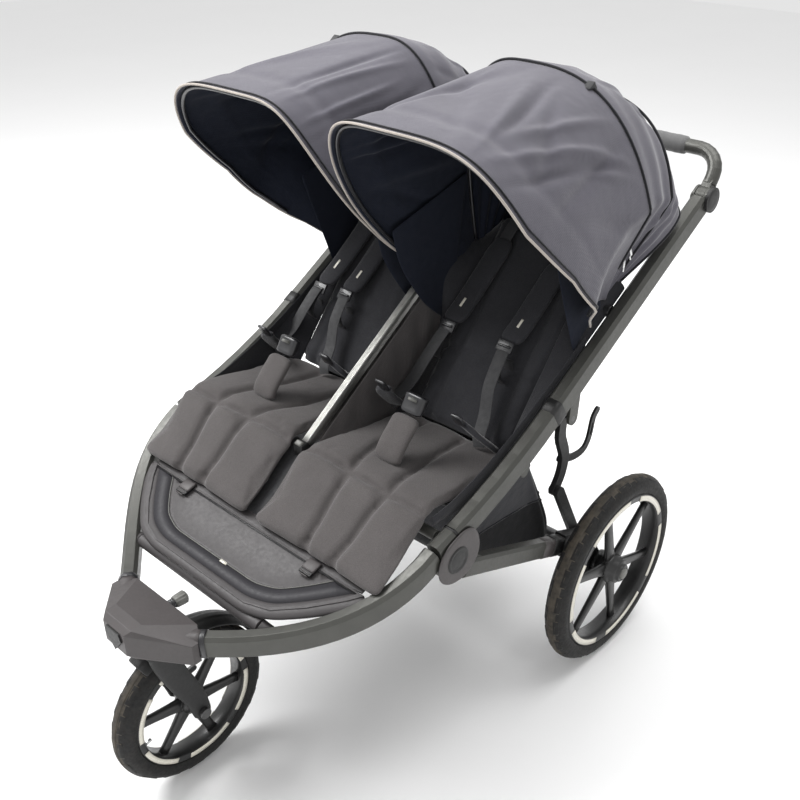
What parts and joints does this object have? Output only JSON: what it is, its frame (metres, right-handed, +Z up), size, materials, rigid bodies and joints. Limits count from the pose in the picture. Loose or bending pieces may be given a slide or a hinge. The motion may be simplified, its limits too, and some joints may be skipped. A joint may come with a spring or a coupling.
{
  "type": "double jogging stroller",
  "caption": "Side-by-side jogging stroller with two reclining seats, folding hoods, swivelling front wheel, spoked rear wheels, tray and basket.",
  "frame": {"origin": "on the ground under the middle of the stroller's bounding box", "axes": "-Y is the front where the single wheel is, +X is the right side as seen from the front, +Z is up, the wheels stand on Z = 0"},
  "size_m": [0.806, 1.21, 1.1504],
  "materials": {
    "frame_tube": "dark titanium-grey powder coat, satin",
    "black_casting": "glass-filled black plastic castings, fine grain",
    "nose_plastic": "dark grey satin moulding",
    "grey_plastic": "light grey moulded plastic",
    "silver_rail": "anodised ribbed extrusion",
    "steel": "plain steel pins and axles",
    "seat_fabric": "warm dark grey woven polyester, quilted",
    "side_fabric": "black-grey woven lining",
    "hood_fabric": "charcoal canopy cloth with a faint blue cast, reflective lip piping",
    "basket_fabric": "black cargo cloth",
    "webbing": "black harness webbing and pads",
    "buckle": "black acetal buckle",
    "tyre": "black pneumatic tyre with shoulder blocks",
    "rim": "black six-spoke moulded rim with pale reflective arcs",
    "tray": "dark grey grained tray",
    "grip_foam": "soft black grip"
  },
  "bodies": {
    "upper_frame": {"upper_tube_left": "frame_tube", "upper_tube_right": "frame_tube", "hub_covers": "black_casting", "pivot_pins": "steel", "center_rail": "silver_rail", "seat_crossbars": "frame_tube", "seat_cushion_left": "seat_fabric", "seat_cushion_right": "seat_fabric", "seat_sides": "side_fabric", "crotch_buckle_left": "buckle", "crotch_buckle_right": "buckle", "hood_rear_left": "hood_fabric", "hood_rear_right": "hood_fabric", "handle_hinges": "black_casting"},
    "backrest_left": {"backrest_left": "seat_fabric", "shoulder_pads_left": "webbing"},
    "backrest_right": {"backrest_right": "seat_fabric", "shoulder_pads_right": "webbing"},
    "hood_left": {"hood_bow_left": "steel", "hood_visor_left": "hood_fabric"},
    "hood_right": {"hood_bow_right": "steel", "hood_visor_right": "hood_fabric"},
    "hood_lip_left": {"hood_lip_left": "steel"},
    "hood_lip_right": {"hood_lip_right": "steel"},
    "handle": {"handlebar": "frame_tube", "handle_grip": "grip_foam"},
    "handle_button_left": {"handle_button_left": "grey_plastic"},
    "handle_button_right": {"handle_button_right": "grey_plastic"},
    "front_frame": {"front_tube_left": "frame_tube", "front_tube_right": "frame_tube", "nose_head": "nose_plastic", "nose_cap": "black_casting", "footrest_tray": "tray", "footrest_clips": "black_casting"},
    "swivel_knob": {"swivel_knob": "grey_plastic"},
    "caster": {"fork": "black_casting", "mudguard": "black_casting", "front_axle": "steel"},
    "front_wheel": {"front_tyre": "tyre", "front_rim": "rim"},
    "quick_release": {"skewer_lever": "steel"},
    "rear_frame": {"chassis_tube_left": "frame_tube", "chassis_tube_right": "frame_tube", "axle_blocks": "black_casting", "rear_axle": "steel", "basket": "basket_fabric"},
    "rear_wheel_left": {"rear_tyre_left": "tyre", "rear_rim_left": "rim"},
    "rear_wheel_right": {"rear_tyre_right": "tyre", "rear_rim_right": "rim"},
    "wheel_button_left": {"wheel_button_left": "grey_plastic"},
    "wheel_button_right": {"wheel_button_right": "grey_plastic"},
    "brake_pedal": {"brake_pedal": "black_casting"},
    "brake_pin_left": {"brake_pin_left": "steel"},
    "brake_pin_right": {"brake_pin_right": "steel"},
    "brace_upper_left": {"strut_upper_left": "black_casting"},
    "brace_upper_right": {"strut_upper_right": "black_casting"},
    "brace_lower_left": {"strut_lower_left": "black_casting"},
    "brace_lower_right": {"strut_lower_right": "black_casting"},
    "fold_hook": {"fold_hook": "black_casting"}
  },
  "joints": [
    {"name": "front_fold", "type": "hinge", "parent": "upper_frame", "child": "front_frame", "pos_m": [0, -0.145, 0.462], "axis": [1, 0, 0], "range_deg": [0, 112]},
    {"name": "rear_fold", "type": "hinge", "parent": "upper_frame", "child": "rear_frame", "pos_m": [0, -0.145, 0.462], "axis": [1, 0, 0], "range_deg": [0, 28], "deforming": ["basket"]},
    {"name": "brace_upper_left", "type": "hinge", "parent": "upper_frame", "child": "brace_upper_left", "pos_m": [-0.296, 0.189, 0.571], "axis": [1, 0, 0], "range_deg": [-8.5, 0]},
    {"name": "brace_lower_left", "type": "hinge", "parent": "rear_frame", "child": "brace_lower_left", "pos_m": [-0.307, 0.252, 0.281], "axis": [1, 0, 0], "range_deg": [0, 64]},
    {"name": "backrest_recline_left", "type": "hinge", "parent": "upper_frame", "child": "backrest_left", "pos_m": [-0.155, 0.062, 0.518], "axis": [-1, 0, 0], "range_deg": [0, 30]},
    {"name": "hood_fold_left", "type": "hinge", "parent": "upper_frame", "child": "hood_left", "pos_m": [-0.155, 0.28, 0.745], "axis": [1, 0, 0], "range_deg": [-55, 0], "deforming": ["hood_visor_left"]},
    {"name": "hood_lip_fold_left", "type": "hinge", "parent": "hood_left", "child": "hood_lip_left", "pos_m": [-0.155, 0.28, 0.745], "axis": [1, 0, 0], "range_deg": [-22, 0]},
    {"name": "handle_button_left", "type": "slide", "parent": "upper_frame", "child": "handle_button_left", "axis": [-1, 0, 0], "range_m": [0, 0.003], "stiffness_N_per_m": 900},
    {"name": "wheel_button_left", "type": "slide", "parent": "rear_wheel_left", "child": "wheel_button_left", "axis": [1, 0, 0], "range_m": [0, 0.0035], "stiffness_N_per_m": 900},
    {"name": "rear_wheel_spin_left", "type": "hinge", "parent": "rear_frame", "child": "rear_wheel_left", "pos_m": [-0.366, 0.3, 0.2], "axis": [1, 0, 0], "continuous": true},
    {"name": "brake_pin_left", "type": "slide", "parent": "rear_frame", "child": "brake_pin_left", "axis": [-1, 0, 0], "range_m": [0, 0.009]},
    {"name": "brace_upper_right", "type": "hinge", "parent": "upper_frame", "child": "brace_upper_right", "pos_m": [0.296, 0.189, 0.571], "axis": [1, 0, 0], "range_deg": [-8.5, 0]},
    {"name": "brace_lower_right", "type": "hinge", "parent": "rear_frame", "child": "brace_lower_right", "pos_m": [0.307, 0.252, 0.281], "axis": [1, 0, 0], "range_deg": [0, 64]},
    {"name": "backrest_recline_right", "type": "hinge", "parent": "upper_frame", "child": "backrest_right", "pos_m": [0.155, 0.062, 0.518], "axis": [-1, 0, 0], "range_deg": [0, 30]},
    {"name": "hood_fold_right", "type": "hinge", "parent": "upper_frame", "child": "hood_right", "pos_m": [0.155, 0.28, 0.745], "axis": [1, 0, 0], "range_deg": [-55, 0], "deforming": ["hood_visor_right"]},
    {"name": "hood_lip_fold_right", "type": "hinge", "parent": "hood_right", "child": "hood_lip_right", "pos_m": [0.155, 0.28, 0.745], "axis": [1, 0, 0], "range_deg": [-22, 0]},
    {"name": "handle_button_right", "type": "slide", "parent": "upper_frame", "child": "handle_button_right", "axis": [1, 0, 0], "range_m": [0, 0.003], "stiffness_N_per_m": 900},
    {"name": "wheel_button_right", "type": "slide", "parent": "rear_wheel_right", "child": "wheel_button_right", "axis": [-1, 0, 0], "range_m": [0, 0.0035], "stiffness_N_per_m": 900},
    {"name": "rear_wheel_spin_right", "type": "hinge", "parent": "rear_frame", "child": "rear_wheel_right", "pos_m": [0.366, 0.3, 0.2], "axis": [1, 0, 0], "continuous": true},
    {"name": "brake_pin_right", "type": "slide", "parent": "rear_frame", "child": "brake_pin_right", "axis": [1, 0, 0], "range_m": [0, 0.009]},
    {"name": "handle_tilt", "type": "hinge", "parent": "upper_frame", "child": "handle", "pos_m": [0, 0.538, 0.89], "axis": [1, 0, 0], "range_deg": [-20, 45]},
    {"name": "swivel", "type": "hinge", "parent": "front_frame", "child": "caster", "pos_m": [0, -0.515, 0.33], "axis": [0, 0, 1], "continuous": true},
    {"name": "front_wheel_spin", "type": "hinge", "parent": "caster", "child": "front_wheel", "pos_m": [0, -0.455, 0.15], "axis": [1, 0, 0], "continuous": true},
    {"name": "skewer_lever", "type": "hinge", "parent": "caster", "child": "quick_release", "pos_m": [0, -0.455, 0.15], "axis": [1, 0, 0], "range_deg": [0, 150]},
    {"name": "swivel_knob_pull", "type": "slide", "parent": "front_frame", "child": "swivel_knob", "axis": [0, 1, 0], "range_m": [0, 0.006], "stiffness_N_per_m": 900},
    {"name": "brake_pedal_push", "type": "hinge", "parent": "rear_frame", "child": "brake_pedal", "pos_m": [0.095, 0.285, 0.218], "axis": [-1, 0, 0], "range_deg": [0, 22]},
    {"name": "fold_hook_swing", "type": "hinge", "parent": "brace_upper_right", "child": "fold_hook", "pos_m": [0.288, 0.203, 0.468], "axis": [1, 0, 0], "range_deg": [0, 20], "stiffness_Nm_per_rad": 0.5}
  ],
  "couplings": [
    {"joint": "rear_fold", "follows": "front_fold", "ratio": 0.25},
    {"joint": "brace_upper_left", "follows": "front_fold", "ratio": -0.0714},
    {"joint": "brace_lower_left", "follows": "front_fold", "ratio": 0.565},
    {"joint": "brake_pin_left", "follows": "brake_pedal_push", "m_per_rad": 0.0234},
    {"joint": "brace_upper_right", "follows": "front_fold", "ratio": -0.0714},
    {"joint": "brace_lower_right", "follows": "front_fold", "ratio": 0.565},
    {"joint": "brake_pin_right", "follows": "brake_pedal_push", "m_per_rad": 0.0234}
  ]
}
